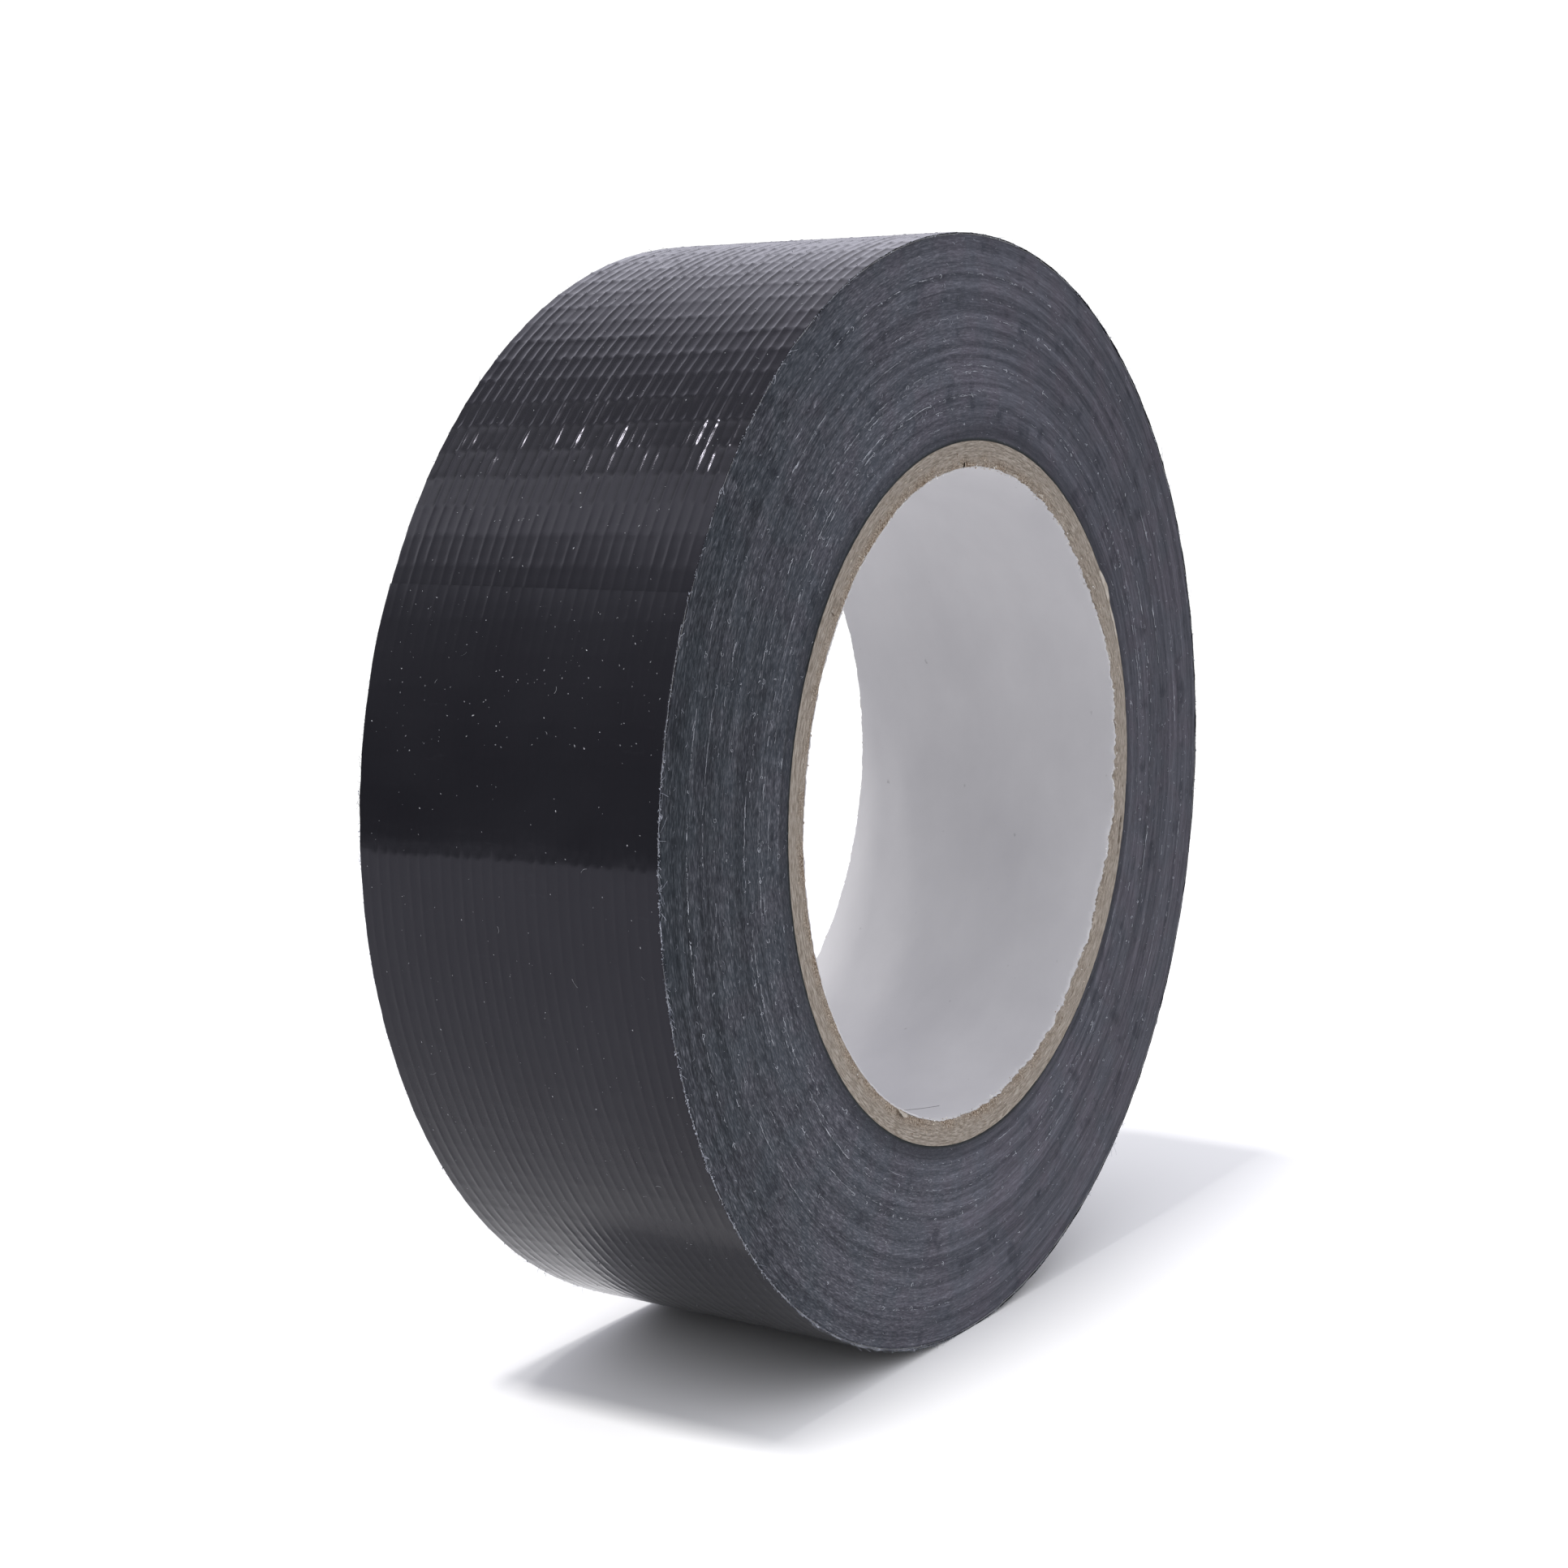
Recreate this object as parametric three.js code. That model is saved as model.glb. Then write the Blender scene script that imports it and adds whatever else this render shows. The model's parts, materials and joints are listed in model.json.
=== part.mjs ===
// A roll of cloth-backed duct tape standing on its rim: a spiral-wound paper core, the winding of
// tape bonded round it, the outermost turn as its three layers, and the free end that peels up.
//
// Millimetres, +Z up. The roll's axis runs along Y and the floor is z = 0, under the middle of the
// roll. An angle is given in degrees round the axis: 0 points to -X and 90 points straight up.
import * as THREE from "three";

// Tape
const TAPE_WIDTH = 38;
const ROLL_RADIUS = 65;
const FILM = 0.08;
const SCRIM = 0.08;
const ADHESIVE = 0.08;
const TURN = FILM + SCRIM + ADHESIVE;

// Free end: where it is cut, and where it starts to lift when it is peeled
const TIP_ANGLE = 23.8;
const PEEL_ANGLE = 7.5;
const PEEL_SLIT = 0.3;
const LIFT = 0.05;

// Core: one white liner and five kraft plies, each a strip wound round in a slanted butt seam
const BORE_RADIUS = 38.2;
const LINER = 0.2;
const PLY = 0.6;
const PLY_COUNT = 5;
const SEAM_SPAN = 100;
const SEAM_GAP = 0.4;
const SEAM_TIP = 0.3;
const LINER_SEAM_ANGLE = 290;
const SEAM_STAGGER = 155;

// Glue line left between neighbouring layers
const BOND = 0.02;

// Every round surface is a polygon with one of its flats level at the bottom
const FACETS = 72;
const STEP = 360 / FACETS;
const FIRST_CORNER = STEP / 2;

const HALF_WIDTH = TAPE_WIDTH / 2;
const CORE_RADIUS = BORE_RADIUS + LINER + PLY * PLY_COUNT;
const radians = THREE.MathUtils.degToRad;

// Radius of the outermost turn's outer face: a spiral that loses one turn's thickness per turn,
// counted from the free end down the -X side, under the roll and back over the top.
function spiralRadius(angle) {
  return ROLL_RADIUS - (TURN * (TIP_ANGLE - angle)) / 360;
}

const LOWEST_CORNER = STEP / 2 - 90;
const AXIS_HEIGHT = spiralRadius(LOWEST_CORNER) * Math.cos(radians(STEP / 2));

// Distance from the axis to the polygon whose corners lie at the given radius
function facetRadius(radius, angle) {
  const turned = (angle - FIRST_CORNER) / STEP;
  const intoFacet = (turned - Math.floor(turned)) * STEP - STEP / 2;
  return (radius * Math.cos(radians(STEP / 2))) / Math.cos(radians(intoFacet));
}

function pointAt(angle, radius, y) {
  const r = facetRadius(radius, angle);
  const x = -r * Math.cos(radians(angle));
  const z = AXIS_HEIGHT + r * Math.sin(radians(angle));
  return new THREE.Vector3(x, y, z);
}

// The angles between two ends at which a wrapped sheet needs a section: every polygon corner, and
// any extra angle where its edge turns.
function sectionAngles(from, to, extra = []) {
  const angles = [from, to, ...extra];
  const first = Math.ceil((from - FIRST_CORNER) / STEP);
  const last = Math.floor((to - FIRST_CORNER) / STEP);
  for (let i = first; i <= last; i++) angles.push(FIRST_CORNER + i * STEP);
  angles.sort((a, b) => a - b);
  return angles.filter((a, i) => i === 0 || a - angles[i - 1] > 0.01);
}

// A closed sheet wrapped round the axis. inner, outer, low and high give its two radii and its two
// edges across the width at each angle.
function wrappedSheet({ from, to, extra, inner, outer, low, high }) {
  const corners = [];
  const faces = [];
  const angles = sectionAngles(from, to, extra);
  for (const a of angles) {
    corners.push(pointAt(a, inner(a), low(a)), pointAt(a, outer(a), low(a)));
    corners.push(pointAt(a, outer(a), high(a)), pointAt(a, inner(a), high(a)));
  }
  const quad = (a, b, c, d) => faces.push(a, b, c, a, c, d);
  quad(0, 1, 2, 3);
  for (let s = 0; s + 1 < angles.length; s++) {
    for (let side = 0; side < 4; side++) {
      const next = (side + 1) % 4;
      quad(4 * s + next, 4 * s + side, 4 * s + 4 + side, 4 * s + 4 + next);
    }
  }
  const end = 4 * (angles.length - 1);
  quad(end + 3, end + 2, end + 1, end);
  const geometry = new THREE.BufferGeometry().setFromPoints(corners);
  geometry.setIndex(faces);
  return geometry;
}

// One layer of the outermost turn, between two depths below its outer face
function tapeLayer(from, to, depthOutside, depthInside, lift) {
  return wrappedSheet({
    from,
    to,
    inner: (a) => spiralRadius(a) - depthInside + BOND + lift,
    outer: (a) => spiralRadius(a) - depthOutside + lift,
    low: () => -HALF_WIDTH,
    high: () => HALF_WIDTH,
  });
}

// One ply of the core: a slanted strip that meets itself in a butt seam. The seam climbs from one
// end of the core to the other over SEAM_SPAN degrees.
function corePly(innerRadius, thickness, seamAngle) {
  const climb = TAPE_WIDTH / SEAM_SPAN;
  const halfGap = SEAM_GAP / 2;
  const tip = (SEAM_TIP + halfGap) / climb;
  const overrun = halfGap / climb;
  const along = (a) => a - seamAngle;
  const startEdge = (a) => -HALF_WIDTH + along(a) * climb - halfGap;
  const finishEdge = (a) => -HALF_WIDTH + (along(a) - 360) * climb + halfGap;
  return wrappedSheet({
    from: seamAngle + tip,
    to: seamAngle + 360 + SEAM_SPAN - tip,
    extra: [seamAngle + SEAM_SPAN + overrun, seamAngle + 360 - overrun],
    inner: () => innerRadius,
    outer: () => innerRadius + thickness - BOND,
    low: (a) => Math.max(-HALF_WIDTH, finishEdge(a)),
    high: (a) => Math.min(HALF_WIDTH, startEdge(a)),
  });
}

// All the turns under the outermost one: a ring with a spiral outline and a step one turn high
function tapeWinding() {
  const outline = new THREE.Shape();
  const flat = (angle, radius) => {
    const p = pointAt(angle, radius, 0);
    return new THREE.Vector2(p.x, p.z);
  };
  const outside = sectionAngles(TIP_ANGLE - 360, TIP_ANGLE).reverse();
  outline.setFromPoints(outside.map((a) => flat(a, spiralRadius(a) - TURN)));
  const hole = new THREE.Path();
  const inside = sectionAngles(FIRST_CORNER, FIRST_CORNER + 360 - STEP);
  hole.setFromPoints(inside.map((a) => flat(a, CORE_RADIUS)));
  outline.holes.push(hole);
  const geometry = new THREE.ExtrudeGeometry(outline, { depth: TAPE_WIDTH, bevelEnabled: false });
  geometry.translate(0, 0, -HALF_WIDTH);
  geometry.rotateX(Math.PI / 2);
  return geometry;
}

const finishes = {
  kraft: { color: 0x9c9182, roughness: 0.9, metalness: 0 },
  white_liner: { color: 0xd3d2d6, roughness: 0.7, metalness: 0 },
  winding: { color: 0x43454f, roughness: 0.85, metalness: 0 },
  film: { color: 0x17171b, roughness: 0.3, metalness: 0 },
  scrim: { color: 0x8c8f96, roughness: 0.9, metalness: 0 },
  adhesive: { color: 0x6f7074, roughness: 0.6, metalness: 0 },
};

const roll = new THREE.Group();
const freeEnd = new THREE.Group();
roll.add(freeEnd);

function addPiece(parent, name, geometry, finish) {
  const mesh = new THREE.Mesh(geometry, new THREE.MeshStandardMaterial(finishes[finish]));
  mesh.name = name;
  parent.add(mesh);
}

addPiece(roll, "core_liner", corePly(BORE_RADIUS, LINER, LINER_SEAM_ANGLE), "white_liner");
for (let i = 0; i < PLY_COUNT; i++) {
  const seamAngle = LINER_SEAM_ANGLE + SEAM_STAGGER * (i + 1);
  const ply = corePly(BORE_RADIUS + LINER + i * PLY, PLY, seamAngle);
  addPiece(roll, `core_ply_${i + 1}`, ply, "kraft");
}

addPiece(roll, "tape_winding", tapeWinding(), "winding");

const layers = [
  { name: "film", from: 0, to: FILM, finish: "film" },
  { name: "scrim", from: FILM, to: FILM + SCRIM, finish: "scrim" },
  { name: "adhesive", from: FILM + SCRIM, to: TURN, finish: "adhesive" },
];
const slitAngle = THREE.MathUtils.radToDeg(PEEL_SLIT / ROLL_RADIUS);
const turnStart = TIP_ANGLE - 360 + slitAngle;
const turnEnd = PEEL_ANGLE - slitAngle;
for (const { name, from, to, finish } of layers) {
  const turn = tapeLayer(turnStart, turnEnd, from, to, 0);
  addPiece(roll, `outer_turn_${name}`, turn, finish);
  const end = tapeLayer(PEEL_ANGLE, TIP_ANGLE, from, to, LIFT);
  addPiece(freeEnd, `free_end_${name}`, end, finish);
}

export default roll;
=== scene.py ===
"""A roll of black cloth-backed duct tape on a paper core, standing on its rim, in a white studio.

Lengths are metres. The roll's axis runs along Y. An angle is in degrees round that axis: 0 points to
-X, 90 points up, and the tape runs from its free end towards smaller angles.
"""
import json
import math

import bpy
import numpy as np
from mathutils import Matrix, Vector

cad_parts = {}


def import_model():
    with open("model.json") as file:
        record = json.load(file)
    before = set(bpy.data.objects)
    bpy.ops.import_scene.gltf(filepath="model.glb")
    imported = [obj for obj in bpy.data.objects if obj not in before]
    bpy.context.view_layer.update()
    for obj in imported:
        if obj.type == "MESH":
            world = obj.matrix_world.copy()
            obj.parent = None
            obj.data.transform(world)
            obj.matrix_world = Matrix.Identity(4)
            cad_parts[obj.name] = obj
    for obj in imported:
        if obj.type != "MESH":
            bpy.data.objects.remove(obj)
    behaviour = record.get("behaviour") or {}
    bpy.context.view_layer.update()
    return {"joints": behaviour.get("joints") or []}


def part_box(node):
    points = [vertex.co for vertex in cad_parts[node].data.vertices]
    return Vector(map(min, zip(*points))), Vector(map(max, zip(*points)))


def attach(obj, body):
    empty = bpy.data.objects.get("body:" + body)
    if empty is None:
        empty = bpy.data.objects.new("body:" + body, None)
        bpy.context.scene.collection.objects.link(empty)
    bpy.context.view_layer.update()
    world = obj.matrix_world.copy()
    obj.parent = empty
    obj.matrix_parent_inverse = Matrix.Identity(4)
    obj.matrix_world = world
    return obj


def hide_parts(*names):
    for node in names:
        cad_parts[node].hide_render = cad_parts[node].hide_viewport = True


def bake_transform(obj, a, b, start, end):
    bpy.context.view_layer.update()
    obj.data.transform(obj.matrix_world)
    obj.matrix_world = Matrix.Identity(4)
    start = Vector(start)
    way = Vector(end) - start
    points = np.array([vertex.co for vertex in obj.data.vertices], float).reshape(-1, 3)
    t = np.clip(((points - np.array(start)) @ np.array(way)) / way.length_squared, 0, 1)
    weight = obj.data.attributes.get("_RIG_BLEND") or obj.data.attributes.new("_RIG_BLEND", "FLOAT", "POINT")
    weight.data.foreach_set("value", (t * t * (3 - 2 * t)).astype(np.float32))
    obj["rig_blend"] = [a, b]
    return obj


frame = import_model()

MM = 0.001

# ---- Sizes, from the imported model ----
core_low, core_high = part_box("core_ply_5")
bore_low, bore_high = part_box("core_liner")
end_low, end_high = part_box("free_end_film")
rim_low, rim_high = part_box("outer_turn_film")
AXIS_Z = (core_low.z + core_high.z) / 2
HALF_WIDTH = rim_high.y
CORE_RADIUS = (core_high.z - core_low.z) / 2

FILM = 0.08 * MM
SCRIM = 0.08 * MM
ADHESIVE = 0.08 * MM
TURN = FILM + SCRIM + ADHESIVE
LIFT = 0.05 * MM
BOND = 0.02 * MM
LINER = 0.2 * MM
PLY = 0.6 * MM
PLY_COUNT = 5
BORE_RADIUS = CORE_RADIUS - PLY_COUNT * PLY - LINER

peel = frame["joints"][0]
peel_x, _, peel_z = peel["pos_m"]
PEEL_ANGLE = math.degrees(math.atan2(peel_z - AXIS_Z, -peel_x))
TIP_ANGLE = math.degrees(math.atan2(end_high.z - AXIS_Z, -end_high.x))
ROLL_RADIUS = math.hypot(peel_x, peel_z - AXIS_Z) - LIFT + TURN * (TIP_ANGLE - PEEL_ANGLE) / 360

# The slanted butt seams of the core's plies
LINER_SEAM_ANGLE = 290
SEAM_STAGGER = 155
SEAM_SPAN = 100
SEAM_GAP = 0.04 * MM
SEAM_TIP = 0.02 * MM

# The scrim: warp yarns run round the roll, fill yarns across it
WARP_PITCH = 1.37 * MM
FILL_PITCH = 3.5 * MM
FILL_SKEW = 0.022


def spiral_radius(angle):
    """Radius of the outermost turn's outer face."""
    return ROLL_RADIUS - TURN * (TIP_ANGLE - angle) / 360


def below_tip(angle):
    """The same angles, counted down from the free end's tip."""
    return np.where(angle <= TIP_ANGLE, angle, angle - 360)


def place(angle, radius, y):
    """Points from angles in degrees, distances from the axis and places along it."""
    a = np.radians(angle)
    x, z = -radius * np.cos(a), AXIS_Z + radius * np.sin(a)
    return np.stack(np.broadcast_arrays(x, y, z), -1)


# ---- Noise ----
PRIMES = (73856093, 19349663, 83492791)
SCRAMBLERS = (1274126177, 69069)
KEPT_BITS = 0x7FFFFFFF


def hashed(i, j, seed):
    """A repeatable number from -1 to 1 for each whole-number pair."""
    h = (i.astype(np.int64) * PRIMES[0]) ^ (j.astype(np.int64) * PRIMES[1]) ^ (seed * PRIMES[2])
    h = (h ^ (h >> 13)) * SCRAMBLERS[0] & KEPT_BITS
    h = (h ^ (h >> 16)) * SCRAMBLERS[1] & KEPT_BITS
    return (h % 100003) / 50001.5 - 1


def noise(u, v, seed, cells_round=0):
    """Smooth noise from -1 to 1 with features about 1 wide. It repeats in u after cells_round."""
    u, v = np.broadcast_arrays(np.asarray(u, float), np.asarray(v, float))
    i, j = np.floor(u), np.floor(v)
    fu, fv = u - i, v - j
    fu, fv = fu * fu * (3 - 2 * fu), fv * fv * (3 - 2 * fv)
    i2 = i + 1
    if cells_round:
        i, i2 = i % cells_round, i2 % cells_round
    low = hashed(i, j, seed) * (1 - fu) + hashed(i2, j, seed) * fu
    high = hashed(i, j + 1, seed) * (1 - fu) + hashed(i2, j + 1, seed) * fu
    return low * (1 - fv) + high * fv


def round_noise(angle, cells, v, seed):
    """Noise with that many cells round the roll, without a seam."""
    return noise(angle / 360 * cells, v, seed, cells)


def steps(count):
    return np.linspace(0, 1, count)[None, :]


def ridge(distance, width):
    """A smooth ridge, 1 high at its crest."""
    return np.exp(-((distance / width) ** 2))


# ---- Meshes ----
def new_piece(name, points, faces, uvs=None, material=None, sharp=40):
    """A mesh object. faces is a list of arrays, each of faces with the same number of corners."""
    mesh = bpy.data.meshes.new(name)
    points = np.asarray(points, float).reshape(-1, 3)
    mesh.vertices.add(len(points))
    mesh.vertices.foreach_set("co", points.astype(np.float32).ravel())
    sizes = np.concatenate([np.full(len(f), f.shape[1]) for f in faces])
    corners = np.concatenate([f.ravel() for f in faces])
    mesh.loops.add(len(corners))
    mesh.loops.foreach_set("vertex_index", corners.astype(np.int32))
    mesh.polygons.add(len(sizes))
    starts = np.concatenate([[0], np.cumsum(sizes)[:-1]])
    mesh.polygons.foreach_set("loop_start", starts.astype(np.int32))
    mesh.polygons.foreach_set("loop_total", sizes.astype(np.int32))
    mesh.polygons.foreach_set("use_smooth", np.ones(len(sizes), bool))
    mesh.update(calc_edges=True)
    if uvs is not None:
        layer = mesh.uv_layers.new(name="UVMap")
        layer.data.foreach_set("uv", uvs[corners].astype(np.float32).ravel())
    mesh.validate()
    mesh.set_sharp_from_angle(angle=math.radians(sharp))
    piece = bpy.data.objects.new(name, mesh)
    bpy.context.scene.collection.objects.link(piece)
    if material:
        mesh.materials.append(material)
    return piece


def loop_faces(rows, columns, closed_rows):
    """Quads that join each row of a tube-like grid to the next, round its closed columns."""
    r = np.arange(rows if closed_rows else rows - 1)[:, None]
    c = np.arange(columns)[None, :]
    r2, c2 = (r + 1) % rows, (c + 1) % columns
    quad = [r * columns + c, r2 * columns + c, r2 * columns + c2, r * columns + c2]
    return np.stack(np.broadcast_arrays(*quad), -1).reshape(-1, 4)


def section_sheet(name, points, uvs, material, sharp=40):
    """A closed sheet from its cross-section at each angle: points is (angles, corners, 3)."""
    rows, columns = points.shape[:2]
    start = np.arange(columns)[None, :]
    end = (rows - 1) * columns + np.arange(columns)[None, ::-1]
    faces = [loop_faces(rows, columns, False), start, end]
    return new_piece(name, points, faces, uvs.reshape(-1, 2), material, sharp)


def finish_piece(piece, body, slot, *nodes):
    """Says what the piece rides on and the CAD nodes it stands for. Its slot argument is not used."""
    if piece.get("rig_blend") is None:
        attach(piece, body)
    if nodes:
        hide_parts(*nodes)
    return piece


def merged_piece(name, parts, material, body, slot, sharp=40):
    """Many small shapes as one piece that rides on a body."""
    points, faces = merge(parts)
    piece = new_piece(name, points, faces, None, material, sharp)
    if body == "free_end":
        blend_free_end(piece)
    return finish_piece(piece, body, slot)


# ---- Materials ----
class Graph:
    """Builds the nodes of one material, or of the world."""

    def __init__(self, name, world_data=None):
        self.material = world_data or bpy.data.materials.new(name)
        self.material.use_nodes = True
        self.tree = self.material.node_tree
        self.shader = self.tree.nodes.get("Principled BSDF")

    def node(self, kind, inputs=(), **settings):
        made = self.tree.nodes.new("ShaderNode" + kind)
        for key, value in settings.items():
            setattr(made, key, value)
        for key, value in dict(inputs).items():
            self.put(made.inputs[key], value)
        return made

    def put(self, socket, value):
        if isinstance(value, bpy.types.NodeSocket):
            self.tree.links.new(value, socket)
        else:
            socket.default_value = value

    def set(self, **inputs):
        for key, value in inputs.items():
            self.put(self.shader.inputs[key.replace("_", " ")], value)
        return self

    def math(self, operation, a, b=0.0):
        return self.node("Math", {0: a, 1: b, 2: 0.0}, operation=operation).outputs[0]

    def uv(self, scale_u, scale_v):
        """The sheet's own coordinates, in metres along and across it, scaled."""
        flat = self.node("UVMap").outputs[0]
        return self.node("Mapping", {"Vector": flat, "Scale": (scale_u, scale_v, 1)}).outputs[0]

    def rings(self, round_scale, radial_scale):
        """Coordinates that run round the roll's axis, outwards from it and along it."""
        place_ = self.node("TexCoord").outputs["Object"]
        part = self.node("SeparateXYZ", {0: place_})
        x, z = part.outputs[0], self.math("SUBTRACT", part.outputs[2], AXIS_Z)
        r = self.math("SQRT", self.math("ADD", self.math("MULTIPLY", x, x), self.math("MULTIPLY", z, z)))
        turn = [self.math("MULTIPLY", self.math("DIVIDE", v, r), round_scale) for v in (x, z)]
        out = self.math("MULTIPLY", r, radial_scale)
        return self.node("CombineXYZ", {0: turn[0], 1: turn[1], 2: out}).outputs[0], r

    def noise(self, vector, detail=3, roughness=0.55, scale=1.0):
        inputs = {"Vector": vector, "Scale": scale, "Detail": detail, "Roughness": roughness}
        return self.node("TexNoise", inputs).outputs["Fac"]

    def weigh(self, a, share_a, b, share_b):
        return self.math("ADD", self.math("MULTIPLY", a, share_a), self.math("MULTIPLY", b, share_b))

    def along_x(self):
        return self.node("SeparateXYZ", {0: self.node("TexCoord").outputs["Object"]}).outputs[0]

    def ramp(self, value, *stops):
        made = self.node("ValToRGB", {0: value})
        elements = made.color_ramp.elements
        while len(elements) < len(stops):
            elements.new(0.5)
        for element, (at, colour) in zip(elements, stops):
            element.position = at
            element.color = colour if len(colour) == 4 else (*colour, 1)
        return made.outputs[0]

    def grey(self, value, low_at, high_at, low=0.0, high=1.0):
        made = self.node("MapRange", {0: value, 1: low_at, 2: high_at, 3: low, 4: high}, clamp=True)
        return made.outputs[0]

    def mix(self, factor, a, b, blend="MIX"):
        made = self.node("Mix", data_type="RGBA", blend_type=blend)
        for socket, value in zip([made.inputs[0], made.inputs[6], made.inputs[7]], [factor, a, b]):
            if not isinstance(value, bpy.types.NodeSocket) and socket.type == "RGBA":
                value = (*value[:3], 1)
            self.put(socket, value)
        return made.outputs[2]

    def bump(self, height, distance, strength=1.0, normal=None):
        inputs = {"Height": height, "Distance": distance, "Strength": strength}
        if normal is not None:
            inputs["Normal"] = normal
        return self.node("Bump", inputs).outputs[0]


def film_material():
    g = Graph("backing_film")
    wide = g.noise(g.uv(60, 60), 2)
    fine = g.noise(g.uv(1500, 1500), 4, 0.6)
    scuff = g.noise(g.uv(700, 160), 5, 0.7)
    tone = g.mix(g.grey(wide, 0.3, 0.7), (0.0100, 0.0099, 0.0125), (0.0130, 0.0130, 0.0160))
    tone = g.mix(g.grey(scuff, 0.62, 0.8, 0, 0.25), tone, (0.03, 0.03, 0.035))
    rough = g.grey(g.weigh(scuff, 0.6, wide, 0.4), 0.3, 0.7, 0.09, 0.17)
    ripple = g.bump(wide, 0.00012, 0.5)
    g.set(Base_Color=tone, Roughness=rough, Normal=g.bump(fine, 0.000006, 0.5, ripple))
    g.set(IOR=1.27, Specular_Tint=(0.97, 0.94, 1.12, 1))
    return g.material


def edge_material():
    """The cut edges of the wound turns, end on. Their grain changes along X. A painted shade along X makes
    the faces darkest at the -X side, lightest around the middle and a little less light at +X.
    """
    g = Graph("tape_edge")
    streak, radius = g.rings(52, 5600)
    fine, _ = g.rings(120, 12000)
    groove, _ = g.rings(15, 4400)
    mottle, _ = g.rings(16, 260)
    hue, _ = g.rings(9, 150)
    streaks, fines = g.noise(streak, 2, 0.6), g.noise(fine, 2, 0.6)
    grooves = g.noise(groove, 3, 0.65)
    patches, hues = g.noise(mottle, 3, 0.5), g.noise(hue, 2, 0.5)
    side = g.along_x()
    calm = g.grey(g.math("ADD", side, g.math("MULTIPLY", g.math("SUBTRACT", patches, 0.5), 0.03)),
                  -0.058, 0.012)
    mixed = g.weigh(streaks, 0.68, fines, 0.32)
    rough_tone = g.ramp(mixed, (0.38, (0.015, 0.017, 0.020)), (0.47, (0.025, 0.028, 0.032)),
                        (0.54, (0.043, 0.046, 0.051)), (0.62, (0.083, 0.087, 0.094)),
                        (0.70, (0.15, 0.154, 0.163)))
    ringed = g.weigh(grooves, 0.62, mixed, 0.38)
    calm_tone = g.ramp(ringed, (0.38, (0.028, 0.0282, 0.0330)), (0.5, (0.038, 0.0382, 0.0450)),
                       (0.62, (0.056, 0.057, 0.066)))
    tone = g.mix(calm, rough_tone, calm_tone)
    tone = g.mix(g.grey(hues, 0.42, 0.58, 0.0, 0.22), tone, (0.026, 0.036, 0.044))
    tone = g.mix(g.grey(hues, 0.50, 0.38, 0.0, 0.12), tone, (0.038, 0.033, 0.046))
    tone = g.mix(g.grey(patches, 0.42, 0.30, 0, 0.45), tone, (0.008, 0.009, 0.013))
    inner = g.grey(radius, CORE_RADIUS + 1.5 * MM, CORE_RADIUS + 2.1 * MM, 0.55, 0)
    tone = g.mix(inner, tone, (0.013, 0.014, 0.017))
    crack = g.grey(radius, CORE_RADIUS + 0.15 * MM, CORE_RADIUS + 0.45 * MM, 0.8, 0)
    tone = g.mix(crack, tone, (0.005, 0.007, 0.006))
    outer = g.grey(radius, ROLL_RADIUS - 0.60 * MM, ROLL_RADIUS - 0.30 * MM, 0, 0.6)
    tone = g.mix(outer, tone, (0.008, 0.009, 0.013))
    # Painted shade: the tone is multiplied by a ramp along X, darkest at -X, lightest around the middle and
    # a little less light at +X. It stands in for how the light falls across the end faces.
    painted_shade_along_x = g.ramp(g.grey(side, -0.066, 0.040), (0.0, (0.80, 0.83, 0.89)), (0.17, (1.21, 1.21, 1.28)),
                   (0.36, (1.80, 1.77, 1.86)), (0.62, (2.12, 2.05, 2.16)), (1.0, (1.56, 1.51, 1.58)))
    tone = g.mix(1.0, tone, painted_shade_along_x, "MULTIPLY")
    band, _ = g.rings(1.5, 1300)
    bands = g.ramp(g.noise(band, 2, 0.5), (0.36, (0.74, 0.75, 0.76)), (0.64, (1.26, 1.25, 1.24)))
    tone = g.mix(1.0, tone, bands, "MULTIPLY")
    g.set(Base_Color=tone, Roughness=g.grey(fines, 0.3, 0.7, 0.8, 0.6))
    g.set(Specular_IOR_Level=0.12, Normal=g.bump(mixed, 0.00006, 0.8))
    return g.material


def kraft_material():
    g = Graph("kraft_paper")
    streak, radius = g.rings(34, 6800)
    fleck, _ = g.rings(190, 5200)
    cloud, _ = g.rings(14, 500)
    streaks, flecks, clouds = g.noise(streak, 3, 0.6), g.noise(fleck, 4, 0.7), g.noise(cloud, 2)
    tone = g.ramp(streaks, (0.38, (0.195, 0.164, 0.132)), (0.5, (0.295, 0.257, 0.217)),
                  (0.62, (0.405, 0.362, 0.315)))
    tone = g.mix(g.grey(clouds, 0.40, 0.66, 0, 0.35), tone, (0.275, 0.243, 0.207))
    torn = g.grey(radius, BORE_RADIUS + 0.45 * MM, BORE_RADIUS + 1.9 * MM, 1.0, 0.0)
    torn = g.math("MULTIPLY", torn, g.grey(clouds, 0.40, 0.60, 0.25, 1.0))
    side = g.along_x()
    torn = g.math("MULTIPLY", torn, g.grey(side, 0.004, 0.026, 1.0, 0.2))
    brown = g.ramp(flecks, (0.40, (0.075, 0.050, 0.033)), (0.48, (0.225, 0.165, 0.115)),
                   (0.55, (0.330, 0.270, 0.212)), (0.64, (0.540, 0.490, 0.420)))
    tone = g.mix(torn, tone, brown)
    tone = g.mix(g.grey(flecks, 0.66, 0.74, 0, 0.5), tone, (0.150, 0.105, 0.070))
    relief = g.math("ADD", streaks, g.math("MULTIPLY", flecks, 1.2))
    g.set(Base_Color=tone, Roughness=g.grey(flecks, 0.3, 0.7, 0.95, 0.8), Specular_IOR_Level=0.15)
    g.set(Normal=g.bump(relief, 0.00014, 0.9))
    return g.material


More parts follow.
